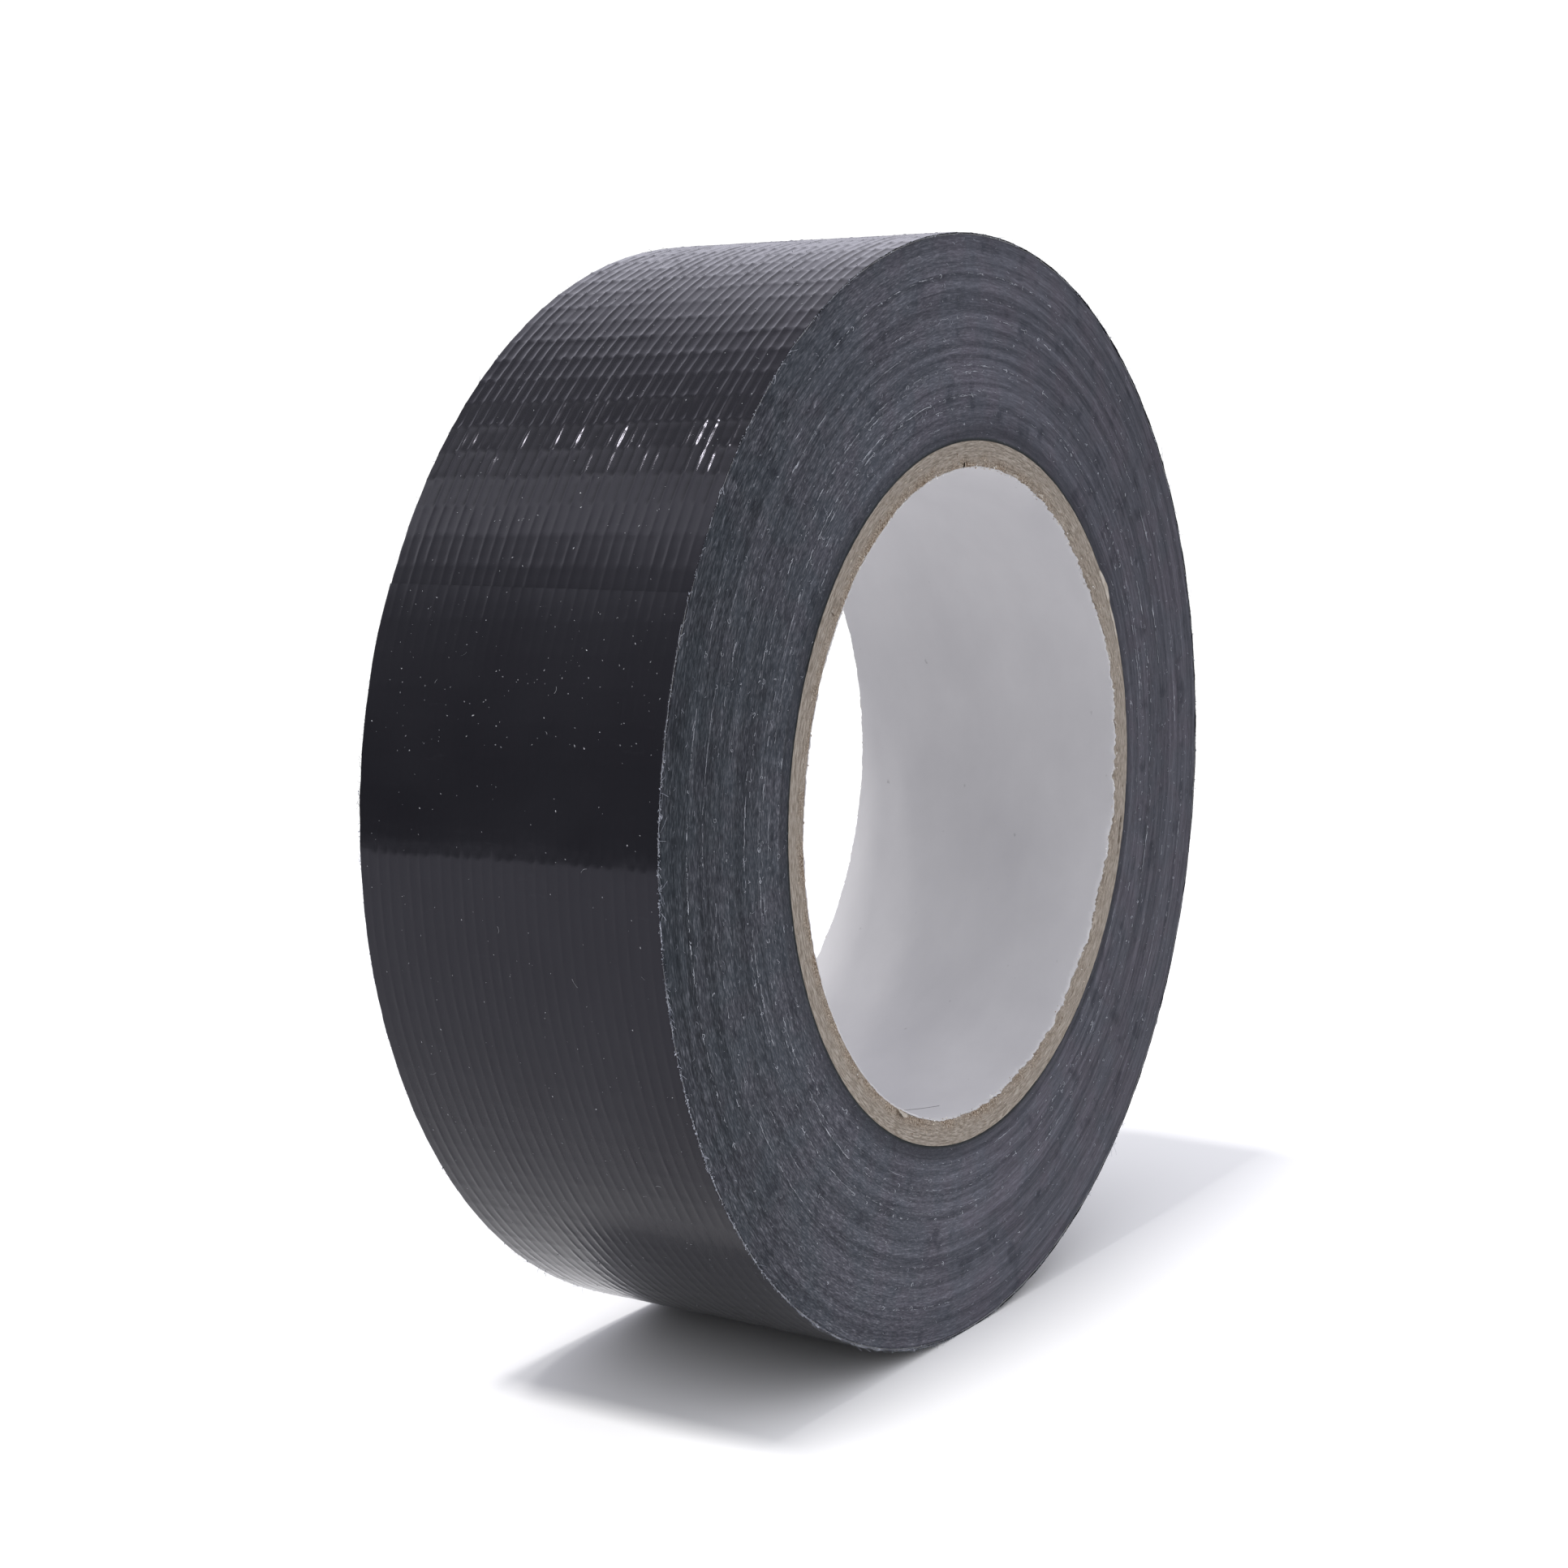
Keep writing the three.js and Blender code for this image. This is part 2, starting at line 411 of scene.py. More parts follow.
def liner_material():
    g = Graph("white_liner")
    cloud = g.noise(g.uv(45, 70), 4, 0.55)
    fibre = g.noise(g.uv(900, 2600), 4, 0.65)
    speck = g.noise(g.uv(650, 800), 2, 0.5)
    tone = g.mix(g.grey(cloud, 0.3, 0.7), (0.457, 0.451, 0.466), (0.534, 0.527, 0.539))
    tone = g.mix(g.grey(fibre, 0.60, 0.78, 0, 0.25), tone, (0.43, 0.42, 0.43))
    tone = g.mix(g.grey(speck, 0.735, 0.79, 0, 0.6), tone, (0.26, 0.25, 0.26))
    g.set(Base_Color=tone, Roughness=g.grey(cloud, 0.3, 0.7, 0.5, 0.6))
    g.set(Normal=g.bump(fibre, 0.00002, 0.5, g.bump(cloud, 0.0002, 0.3)))
    return g.material


def scrim_material():
    g = Graph("scrim_cloth")
    hair = g.noise(g.uv(1200, 9000), 4, 0.6)
    tone = g.ramp(hair, (0.3, (0.07, 0.075, 0.09)), (0.7, (0.22, 0.23, 0.26)))
    g.set(Base_Color=tone, Roughness=0.85, Normal=g.bump(hair, 0.00002, 0.8), Sheen_Weight=0.3)
    return g.material


def adhesive_material():
    g = Graph("adhesive")
    blotch = g.noise(g.uv(400, 400), 4, 0.6)
    fine = g.noise(g.uv(2500, 2500), 3, 0.6)
    tone = g.mix(g.grey(blotch, 0.3, 0.7), (0.16, 0.16, 0.165), (0.25, 0.25, 0.255))
    g.set(Base_Color=tone, Roughness=g.grey(fine, 0.3, 0.7, 0.3, 0.5))
    g.set(Normal=g.bump(fine, 0.00003, 0.7))
    return g.material


def thread_material(name, low, high):
    g = Graph(name)
    spots = g.noise(g.node("TexCoord").outputs["Object"], 2, 0.5, scale=700)
    g.set(Base_Color=g.mix(g.grey(spots, 0.35, 0.65), low, high), Roughness=0.8)
    return g.material


FINISH = {
    "backing_film": film_material(),
    "tape_edge": edge_material(),
    "kraft_paper": kraft_material(),
    "white_liner": liner_material(),
    "scrim_cloth": scrim_material(),
    "adhesive": adhesive_material(),
}
THREAD = thread_material("frayed_thread", (0.10, 0.107, 0.125), (0.46, 0.48, 0.53))
LINT = thread_material("lint", (0.10, 0.11, 0.14), (0.42, 0.44, 0.50))
DUST = thread_material("dust", (0.10, 0.105, 0.12), (0.46, 0.47, 0.50))
KRAFT_CRUMB = thread_material("kraft_crumb", (0.14, 0.085, 0.050), (0.56, 0.49, 0.40))
LINER_CRUMB = thread_material("liner_crumb", (0.50, 0.47, 0.43), (0.78, 0.77, 0.76))
FLAP = thread_material("torn_paper", (0.30, 0.26, 0.21), (0.46, 0.42, 0.37))
HAIR = thread_material("hair", (0.10, 0.10, 0.11), (0.20, 0.20, 0.21))


# ---- The tape: its layers in the outermost turn and the free end ----
SHOW_ANGLES = (-180, -90, -50, -20, -8, 8, 24, 32, 37, 47, 54, 90, 180)
SHOW_LEVELS = (0.9, 0.65, 0.50, 0.36, 0.34, 0.30, 0.50, 0.70, 1.35, 1.40, 1.25, 1.25, 0.9)


def cloth_show(pick):
    """How strongly the cloth shows through the film at each part of the turn."""
    angle = TIP_ANGLE - np.degrees(pick * FILL_PITCH / ROLL_RADIUS)
    return np.interp((angle + 180) % 360 - 180, SHOW_ANGLES, SHOW_LEVELS)


def weave_height(pick, strand):
    """How far the film stands up over the yarns. Whole numbers of pick and strand lie on a yarn."""
    show = cloth_show(pick)
    near_pick, near_strand = np.round(pick), np.round(strand)
    from_pick, from_strand = (pick - near_pick) * FILL_PITCH, (strand - near_strand) * WARP_PITCH
    cell = np.floor(pick)
    share = pick - cell
    flat = FILL_PITCH ** 2 / (8 * ROLL_RADIUS) * (0.80 + 0.35 * hashed(cell, np.floor(strand / 6), 16))
    flat = flat * (0.08 + 0.92 * np.minimum(show, 1) ** 2)
    height = -flat * 4 * share * (1 - share)
    creased = hashed(cell, 0 * cell, 17) > 0.1
    height = height + 0.010 * MM * show ** 2 * creased * ridge((share - 0.5) * FILL_PITCH, 0.25 * MM)
    proud_pick = 0.6 + 0.6 * hashed(near_pick, np.floor(strand / 4), 19)
    height = height + 0.030 * MM * show ** 2 * proud_pick * ridge(from_pick, 0.24 * MM)
    live = 1.0 + 0.50 * hashed(near_strand, cell, 13) + 0.45 * hashed(near_strand, 0 * cell, 18)
    live = np.maximum(live, 0.25)
    brick = 1 - 0.95 * ridge(np.minimum(share, 1 - share) * FILL_PITCH, 0.5 * MM)
    rib = ridge(from_strand, 0.14 * MM) * live * (0.70 + 0.50 * share ** 3) * brick
    sag = 0.010 * MM * np.cos(2 * np.pi * from_strand / WARP_PITCH)
    knuckle = ridge(from_strand, 0.17 * MM) * ridge(from_pick, 0.27 * MM)
    knuckle = knuckle * (0.75 + 0.5 * hashed(near_strand, near_pick, 14))
    pit = ridge(from_strand - 0.42 * MM, 0.2 * MM) * ridge(from_pick + 0.5 * MM, 0.3 * MM)
    pit = pit * (hashed(near_strand, near_pick, 15) > 0.1)
    cloth = sag + 0.068 * MM * rib + 0.055 * MM * knuckle - 0.085 * MM * pit
    return height + show * cloth


def weave_place(pick, strand, run_from, run_to):
    """Distance run along the tape and place across it for a point of the weave."""
    y = strand * WARP_PITCH
    inside = 1 - (y / HALF_WIDTH) ** 2
    y = y + 0.12 * MM * inside * noise(pick * 0.4, strand * 0.35, 11)
    run = pick * FILL_PITCH
    inside = np.clip(np.minimum(run - run_from, run_to - run) / (4 * MM), 0, 1)
    lean = FILL_SKEW * y + 0.22 * MM * noise(y / (7 * MM), pick * 0.3, 12)
    return run + inside * lean, y


def slow_relief(run, y):
    """The gentle waviness of a wound turn."""
    wide = noise(run / (26 * MM), y / (20 * MM), 21)
    near = noise(run / (8 * MM), y / (7 * MM), 22)
    return 0.03 * MM * wide + 0.006 * MM * near


def height_above_turn_below(run, height, lift):
    """The free end is pressed down at its tip, and lies flush with the roll at the peel line."""
    tip = 1 - 0.55 * np.exp(-np.maximum(run, 0) / (2.2 * MM))
    raised = lift * np.clip((END_RUN - run) / (3 * MM), 0, 1)
    return height * tip + raised * tip


def edge_wander(run, side, seed, ragged):
    """How far the tape's edge strays from straight, and how far a ragged layer falls short of it."""
    slow = noise(run / (30 * MM), side * 7.3, 30)
    quick = noise(run / (1.4 * MM), side * 3.1, seed + 1)
    short = ragged * (0.5 + 0.5 * noise(run / (1.9 * MM), side * 5.7, seed + 2))
    return (0.05 * slow + 0.045 * quick - 0.20 * side * short) * MM


ROW_OFFSETS = (-0.36, -0.1, 0.0, 0.1, 0.36)
COLUMN_OFFSETS = (-0.36, -0.135, -0.05, 0.05, 0.135, 0.36)
EDGE_MARGINS = (0.0, 0.05, 0.13, 0.28)


def weave_rows(run_from, run_to, offsets):
    first, last = run_from / FILL_PITCH, run_to / FILL_PITCH
    picks = np.arange(math.floor(first) - 1, math.ceil(last) + 2)
    rows = (picks[:, None] + np.array(offsets)[None, :]).ravel()
    gap = 0.04
    rows = rows[(rows > first + gap) & (rows < last - gap)]
    return np.concatenate([[first], rows, [last]])


def weave_columns(offsets):
    half = HALF_WIDTH / WARP_PITCH
    edge = half - np.array(EDGE_MARGINS) * MM / WARP_PITCH
    strands = np.arange(-14, 15)
    inner = (strands[:, None] + np.array(offsets)[None, :]).ravel()
    inner = inner[np.abs(inner) < edge.min() - 0.08]
    return np.concatenate([-edge, inner, edge[::-1]])


def tape_sheet(name, run_from, run_to, depth_out, depth_in, material, lift=0.0, weave_out=0.0,
               weave_in=0.0, offsets=ROW_OFFSETS, seed=30, ragged=0.0):
    """One layer of the tape between two distances run from the free end."""
    rows = weave_rows(run_from, run_to, offsets)[:, None]
    fine = weave_columns(COLUMN_OFFSETS)
    coarse = np.array([-HALF_WIDTH, HALF_WIDTH]) / WARP_PITCH

    def side(depth, weave):
        strand = (fine if weave else coarse)[None, :] * np.ones_like(rows)
        run, y = weave_place(rows, strand, run_from, run_to)
        angle = TIP_ANGLE - np.degrees(run / ROLL_RADIUS)
        height = slow_relief(run, y)
        if weave:
            height = height + weave * weave_height(rows + 0 * strand, strand)
        margin = HALF_WIDTH - np.abs(y)
        height = height - 0.04 * MM * np.exp(-margin / (0.10 * MM))
        left, right = edge_wander(run, -1, seed, ragged), edge_wander(run, 1, seed, ragged)
        share = (y + HALF_WIDTH) / (2 * HALF_WIDTH)
        y = y + left * (1 - share) + right * share
        thick = height_above_turn_below(run, TURN - depth, lift) if lift else TURN - depth
        points = place(angle, spiral_radius(angle) - TURN + thick + height, y)
        return points, np.stack(np.broadcast_arrays(run, y), -1)

    outer, inner = side(depth_out, weave_out), side(depth_in - BOND, weave_in)
    points = np.concatenate([outer[0], inner[0][:, ::-1]], 1)
    uvs = np.concatenate([outer[1], inner[1][:, ::-1]], 1)
    return section_sheet(name, points, uvs, material)


LAYERS = [
    ("film", 0.0, FILM, "backing_film"),
    ("scrim", FILM, FILM + SCRIM, "scrim_cloth"),
    ("adhesive", FILM + SCRIM, TURN, "adhesive"),
]
END_RUN = math.radians(TIP_ANGLE - PEEL_ANGLE) * ROLL_RADIUS
FULL_TURN = 2 * math.pi * ROLL_RADIUS


def outer_turn():
    """The outermost turn, from the peel line back round to under the free end."""
    for layer, top, bottom, slot in LAYERS:
        outside = layer == "film"
        sheet = tape_sheet("outer_turn_" + layer + "_skin", END_RUN, FULL_TURN, top, bottom, FINISH[slot],
                           weave_out=1.0 if outside else 0.0,
                           offsets=ROW_OFFSETS if outside else (-0.3, 0.0, 0.3), seed=30 + 10 * len(layer),
                           ragged=0.0 if outside else 1.0)
        finish_piece(sheet, "roll", slot, "outer_turn_" + layer)


def blend_free_end(piece):
    """Lets a layer of the free end curl up from the peel line."""
    start = Vector(peel["pos_m"])
    a = math.radians(PEEL_ANGLE)
    along = Vector((math.sin(a), 0, math.cos(a)))
    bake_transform(piece, "roll", "free_end", start=start, end=start + along * 9 * MM)


def free_end():
    """The cut end of the tape, in its three layers, down to the peel line."""
    for layer, top, bottom, slot in LAYERS:
        if layer == "scrim":
            sheet = woven_scrim("free_end_scrim_yarns", FINISH[slot])
        else:
            sheet = tape_sheet("free_end_" + layer + "_skin", 0.0, END_RUN, top, bottom, FINISH[slot],
                               lift=LIFT, weave_out=1.0 if layer == "film" else 0.0,
                               weave_in=-0.8 if layer == "adhesive" else 0.0)
        blend_free_end(sheet)
        finish_piece(sheet, "free_end", slot, "free_end_" + layer)


def tubes(paths, radius, sides=3):
    """Points and faces of many thin tubes. paths is (tubes, points, 3), radius one per point."""
    paths = np.asarray(paths, float)
    count, length = paths.shape[:2]
    radius = np.broadcast_to(np.asarray(radius, float), (count, length))
    along = np.gradient(paths, axis=1)
    along /= np.linalg.norm(along, axis=2, keepdims=True) + 1e-12
    mean = along.mean(1)
    spare = np.where(np.abs(mean[:, :1]) < 0.6, [[1.0, 0, 0]], [[0, 1.0, 0]])
    across = np.cross(along, np.broadcast_to(spare[:, None, :], along.shape))
    across /= np.linalg.norm(across, axis=2, keepdims=True) + 1e-12
    other = np.cross(along, across)
    turn = np.arange(sides) * 2 * np.pi / sides
    ring = (across[:, :, None, :] * np.cos(turn)[None, None, :, None]
            + other[:, :, None, :] * np.sin(turn)[None, None, :, None])
    points = paths[:, :, None, :] + radius[:, :, None, None] * ring
    one = loop_faces(length, sides, False)[:, ::-1]
    shift = (np.arange(count) * length * sides)[:, None, None]
    walls = (one[None] + shift).reshape(-1, 4)
    start = (np.arange(sides)[None, None, :] + shift).reshape(-1, sides)
    end = ((length - 1) * sides + np.arange(sides)[None, None, ::-1] + shift).reshape(-1, sides)
    return points.reshape(-1, 3), [walls, start[:, ::-1], end[:, ::-1]]


def merge(parts):
    """Joins (points, faces) pairs into one."""
    points, faces, base = [], {}, 0
    for part_points, part_faces in parts:
        points.append(part_points)
        for f in part_faces:
            faces.setdefault(f.shape[1], []).append(f + base)
        base += len(part_points)
    return np.concatenate(points), [np.concatenate(f) for f in faces.values()]


def woven_scrim(name, material):
    """The free end's cloth, as warp and fill yarns that pass over and under each other."""
    depth = FILM + SCRIM / 2
    half = SCRIM / 4
    strands = np.arange(-13, 14)
    run = np.linspace(0.15 * MM, END_RUN, 130)
    picks = np.arange(0, int(END_RUN / FILL_PITCH) + 1)

    def yarn(run_, y_, over):
        angle = TIP_ANGLE - np.degrees(run_ / ROLL_RADIUS)
        thick = height_above_turn_below(run_, TURN - depth + half * over, LIFT)
        return place(angle, spiral_radius(angle) - TURN + thick + slow_relief(run_, y_), y_)

    warp = []
    for s in strands:
        y = np.full_like(run, s * WARP_PITCH) + 0.05 * MM * noise(run / (5 * MM), s * 1.7, 41)
        over = np.cos(np.pi * ((run - FILL_SKEW * y) / FILL_PITCH + s))
        warp.append(yarn(run, y, over))
    fill = []
    y = np.linspace(-HALF_WIDTH + 0.1 * MM, HALF_WIDTH - 0.1 * MM, 150)
    for p in picks:
        along = (p + 0.15) * FILL_PITCH + FILL_SKEW * y + 0.05 * MM * noise(y / (4 * MM), p * 2.3, 43)
        along = np.clip(along, 0.1 * MM, END_RUN - 0.1 * MM)
        fill.append(yarn(along, y, -np.cos(np.pi * (y / WARP_PITCH + p))))
    points, faces = merge([tubes(np.array(warp), 0.035 * MM, 6), tubes(np.array(fill), 0.035 * MM, 6)])
    return new_piece(name, points, faces, points[:, :2], material)


def under_turn():
    """The film of the turn below, which shows where the free end has lifted."""
    start = FULL_TURN - 2 * MM
    sheet = tape_sheet("under_turn_film", start, FULL_TURN + END_RUN + 2 * MM, 0.02 * MM, 0.1 * MM,
                       FINISH["backing_film"], weave_out=0.7)
    finish_piece(sheet, "roll", "backing_film")


# ---- The winding: the turns' cut edges on both end faces ----
FRAY_RINGS = [
    # distance from the axis in mm, how strongly the threads show there
    (60.2, 1.0), (57.4, 0.35), (55.35, 0.7), (53.1, 0.25), (49.9, 0.9), (49.2, 0.6),
    (47.1, 0.8), (46.5, 0.8), (45.3, 0.5), (43.5, 0.45),
]


def face_relief(angle, radius, side):
    """How far the turns' edges stand out from the end face."""
    turn = (spiral_radius(angle) - radius) / TURN
    layer = np.floor(turn)
    slow = round_noise(angle, 36, layer * 1.0, 51 + side)
    quick = round_noise(angle, 480, layer * 3.0, 53 + side)
    groups = noise(layer / 4.0, 0 * layer, 55 + side)
    height = 0.035 * slow + 0.030 * quick + 0.05 * groups
    for ring_mm, strength in FRAY_RINGS:
        height = height + 0.05 * strength * ridge(radius - ring_mm * MM, 0.25 * MM)
    edge = (ROLL_RADIUS - radius) / (0.4 * MM)
    return (height - 0.12 * np.exp(-np.maximum(edge, 0))) * MM


WINDING_STEPS = 500


def wound_turns():
    """All the turns below the outermost one, as one ring with relief on its end faces."""
    turns = int(round((ROLL_RADIUS - TURN - CORE_RADIUS) / TURN))
    angle = np.linspace(0, 360, WINDING_STEPS, endpoint=False)[:, None]
    share = steps(turns + 1)
    along = below_tip(angle)
    under_end = np.clip(np.minimum(angle - PEEL_ANGLE + 3, TIP_ANGLE + 2 - angle) / 2, 0, 1)
    outer = spiral_radius(along) - TURN - BOND - 0.13 * MM * under_end
    inner = CORE_RADIUS + BOND
    radius = inner + (outer - inner) * share
    rows = []
    for side in (-1, 1):
        y = side * (HALF_WIDTH + face_relief(along, radius, side))
        rows.append(place(angle, radius, y))
    points = np.concatenate([rows[0], rows[1][:, ::-1]], 1)
    faces = loop_faces(WINDING_STEPS, points.shape[1], True)
    piece = new_piece("wound_turns", points, [faces[:, ::-1]], None, FINISH["tape_edge"], 60)
    finish_piece(piece, "roll", "tape_edge", "tape_winding")


# ---- Loose threads, lint and dust ----
def on_face(angle, radius, out, side):
    return place(angle, radius, side * (HALF_WIDTH + out))


THREAD_KINDS = [
    # longest in degrees, spread in mm, how many, how many are left on the calm side
    (8.0, 0.04, 18, 0.35), (1.5, 0.055, 170, 0.6),
]


def frayed_threads(side):
    """Pale cut warp threads that wander along some turns, and the small ends of fill yarns."""
    rng = np.random.default_rng(61 + side)
    parts = []
    for ring_mm, strength in FRAY_RINGS:
        ring_radius = ring_mm * MM
        for longest, spread, share, kept in THREAD_KINDS:
            pieces = int((8 + share * strength) * ring_mm / 50)
            a0 = rng.uniform(0, 360, pieces)
            calm = 0.8 * (0.5 - 0.5 * np.cos(np.radians(a0 - 15)))
            cluster = round_noise(a0, 50, ring_mm, 66) + rng.normal(0, 0.3, pieces)
            a0 = a0[cluster > calm - kept]
            pieces = len(a0)
            length = rng.uniform(0.25, 1.0, pieces) * longest
            t = steps(22 if longest > 5 else 7)
            a = a0[:, None] + length[:, None] * t
            wave = noise(a * 1.4, a0[:, None] * 5, 63) + 0.6 * noise(a * 4.5, a0[:, None] * 7, 65)
            r = ring_radius + (0.06 * wave + rng.normal(0, spread, (pieces, 1))) * MM
            out = (0.06 + 0.05 * noise(a * 3.6, a0[:, None] * 3, 64)) * MM
            thick = rng.uniform(0.018, 0.040, (pieces, 1)) * (0.70 + 0.5 * strength) * MM
            thick = thick * (0.75 + 0.45 * noise(a * 2.3, a0[:, None] * 9, 67))
            parts.append(tubes(on_face(a, r, out, side), thick))
        spacing = np.degrees(FILL_PITCH * 0.97 / ring_radius)
        ends_all = np.arange(0, 360, spacing)
        ends = ends_all[rng.random(len(ends_all)) < 0.15 + 0.5 * strength]
        count = len(ends)
        t = steps(9)
        swing = rng.uniform(2.0, 5.0, (count, 1)) * t + rng.uniform(0, 6, (count, 1))
        loop = rng.uniform(0.06, 0.26, (count, 1)) * MM
        a = ends[:, None] + np.degrees(loop * np.cos(swing) / ring_radius)
        r = ring_radius + loop * np.sin(swing) + rng.normal(0, 0.05, (count, 1)) * MM
        out = 0.06 * MM + rng.uniform(0.02, 0.14, (count, 1)) * MM * np.sin(np.pi * t)
        parts.append(tubes(on_face(a, r, out, side), rng.uniform(0.018, 0.036, (count, 1)) * MM))
        dots = np.arange(0, 360, spacing) + rng.normal(0, 0.05 * spacing, len(ends_all))
        dots = dots[rng.random(len(dots)) < 0.3 + 0.6 * strength]
        centre = on_face(dots, ring_radius + rng.normal(0, 0.04, len(dots)) * MM, 0.07 * MM, side)
        size = rng.uniform(0.03, 0.075, len(dots)) * MM
        parts.append(turned_flecks(rng, centre, size, 0.5))
    merged_piece("frayed_threads_" + FACE_NAME[side], parts, THREAD, "roll", "scrim_cloth")


FACE_NAME = {-1: "front", 1: "rear"}
OCTAHEDRON = np.array([[0, 1, 4], [1, 2, 4], [2, 3, 4], [3, 0, 4],
                       [1, 0, 5], [2, 1, 5], [3, 2, 5], [0, 3, 5]])


def octahedra(points, corners):
    """Separate lumps with 8 faces each, from (lumps, 6, 3) points."""
    faces = (corners[None] + (np.arange(len(points)) * 6)[:, None, None]).reshape(-1, 3)
    return points.reshape(-1, 3), [faces]


def flecks(centre, size, spin, stretch, flat):
    """Small uneven lumps on an end face. All arguments have one row per lump."""
    a, b = np.cos(spin), np.sin(spin)
    one = np.stack([a, 0 * a, b], -1) * stretch[:, None]
    two = np.stack([-b, 0 * a, a], -1)
    up = np.array([[0.0, 1.0, 0.0]]) * flat[:, None]
    shape = [one, two, -one * 0.8, -two * 1.1, up, -up]
    points = np.stack([centre + s * size[:, None] for s in shape], 1)
    return octahedra(points, OCTAHEDRON[:, [1, 0, 2]])


def turned_flecks(rng, centre, size, flattest):
    count = len(centre)
    spin, stretch = rng.uniform(0, 6.28, count), rng.uniform(1, 2, count)
    return flecks(centre, size, spin, stretch, rng.uniform(flattest, 1.0, count))


FIBRES = 1200
FRONT_FUZZ = (3000, 1500)
REAR_FUZZ = (1200, 300)


def thicker_low(rng, count, even, low, high):
    """Angles all round the roll, with a second helping between low and high."""
    picked = rng.random(count) < even
    return np.where(picked, rng.uniform(0, 360, count), rng.uniform(low, high, count) % 360)


def face_fluff(side):
    """Short fibres all over an end face, and the fuzz along the tape's outer edge."""
    rng = np.random.default_rng(71 + side)
    inside, outside = CORE_RADIUS + 0.3 * MM, ROLL_RADIUS - 0.3 * MM
    radius = np.sqrt(rng.uniform(inside ** 2, outside ** 2, FIBRES))
    a0 = rng.uniform(0, 360, FIBRES)
    heading = rng.normal(0, 0.6, FIBRES)
    length = rng.uniform(0.15, 0.6, FIBRES) * MM
    t = steps(4)
    step = length[:, None] * t
    a = a0[:, None] + np.degrees(step * np.cos(heading)[:, None] / radius[:, None])
    r = radius[:, None] + step * np.sin(heading)[:, None]
    out = 0.04 * MM + rng.uniform(0.02, 0.14, (FIBRES, 1)) * MM * np.sin(np.pi * t)
    parts = [tubes(on_face(a, r, out, side), rng.uniform(0.008, 0.018, (FIBRES, 1)) * MM)]
    fuzz, lumps = FRONT_FUZZ if side < 0 else REAR_FUZZ
    a0 = thicker_low(rng, fuzz, 0.6, 270, 380)
    clump = 0.5 + 0.5 * noise(a0 / 4, 0 * a0, 73, 90)
    reach = rng.exponential(0.19, fuzz) * MM * (0.3 + clump)
    reach = np.minimum(reach, 0.9 * MM)
    t = steps(5)
    bend = rng.normal(0, 1.0, (fuzz, 1))
    a = a0[:, None] + bend * t ** 1.5 * np.degrees(reach[:, None] / ROLL_RADIUS)
    rise = rng.uniform(-0.4, 1.0, (fuzz, 1))
    r = spiral_radius(below_tip(a0))[:, None] - 0.08 * MM + reach[:, None] * t * rise * 0.8
    out = -0.02 * MM + reach[:, None] * t * rng.uniform(0.2, 1.0, (fuzz, 1))
    parts.append(tubes(on_face(a, r, out, side), rng.uniform(0.009, 0.019, (fuzz, 1)) * MM))
    a0 = thicker_low(rng, lumps, 0.5, 280, 375)
    reach = spiral_radius(below_tip(a0)) + rng.normal(-0.10, 0.11, lumps) * MM
    centre = on_face(a0, reach, 0.02 * MM, side)
    size = np.minimum(rng.lognormal(-3.15, 0.45, lumps), 0.10) * MM
    parts.append(turned_flecks(rng, centre, size, 0.6))
    merged_piece("edge_fluff_" + FACE_NAME[side], parts, LINT, "roll", "scrim_cloth")


def film_face(angle, y):
    """Radius of the film's outer face under the weave, on the free end and on the roll."""
    run = np.radians(TIP_ANGLE - angle) * ROLL_RADIUS
    on_end = run < END_RUN
    height = np.where(on_end, height_above_turn_below(run, TURN, LIFT), TURN)
    return spiral_radius(angle) - TURN + height + slow_relief(run, y)


def dust(name, body, low, high, count, hairs, seed):
    """Specks and short hairs lying on the film between two angles."""
    rng = np.random.default_rng(seed)
    angle = rng.uniform(low, high, count)
    y = rng.uniform(-HALF_WIDTH, HALF_WIDTH, count) * 0.97
    size = np.clip(rng.lognormal(-3.32, 0.40, count), 0.016, 0.07)[:, None] * MM
    centre = place(angle, film_face(angle, y) + 0.02 * MM, y)
    a = np.radians(angle)
    normal = np.stack([-np.cos(a), 0 * a, np.sin(a)], -1)
    along = np.stack([np.sin(a), 0 * a, np.cos(a)], -1)
    spin = rng.uniform(0, np.pi, (count, 1))
    wide = along * np.cos(spin) + np.array([[0, 1.0, 0]]) * np.sin(spin)
    thin = np.cross(normal, wide)
    stretch = rng.uniform(1.0, 2.4, (count, 1))
    shape = [wide * stretch, thin, -wide * stretch, -thin, normal * 0.6, -normal * 0.6]
    points = np.stack([centre + s * size * rng.uniform(0.7, 1.2, (count, 1)) for s in shape], 1)
    a0 = rng.uniform(low + 2, high - 2, hairs)[:, None]
    y0 = rng.uniform(-0.9, 0.9, (hairs, 1)) * HALF_WIDTH
    t = steps(9)
    heading = rng.uniform(0, 2 * np.pi, (hairs, 1)) + rng.normal(0, 1.2, (hairs, 1)) * t
    length = rng.uniform(0.3, 1.2, (hairs, 1)) * MM
    a = a0 + np.degrees(np.cumsum(np.cos(heading), 1) * length / 9 / ROLL_RADIUS)
    y = y0 + np.cumsum(np.sin(heading), 1) * length / 9
    path = place(a, film_face(a, y) + 0.03 * MM, y)
    parts = [octahedra(points, OCTAHEDRON), tubes(path, 0.012 * MM)]
    merged_piece(name, parts, DUST, body, "backing_film", 20)


ROLL_SPECKS, ROLL_HAIRS = 1500, 30
END_SPECKS, END_HAIRS = 170, 4


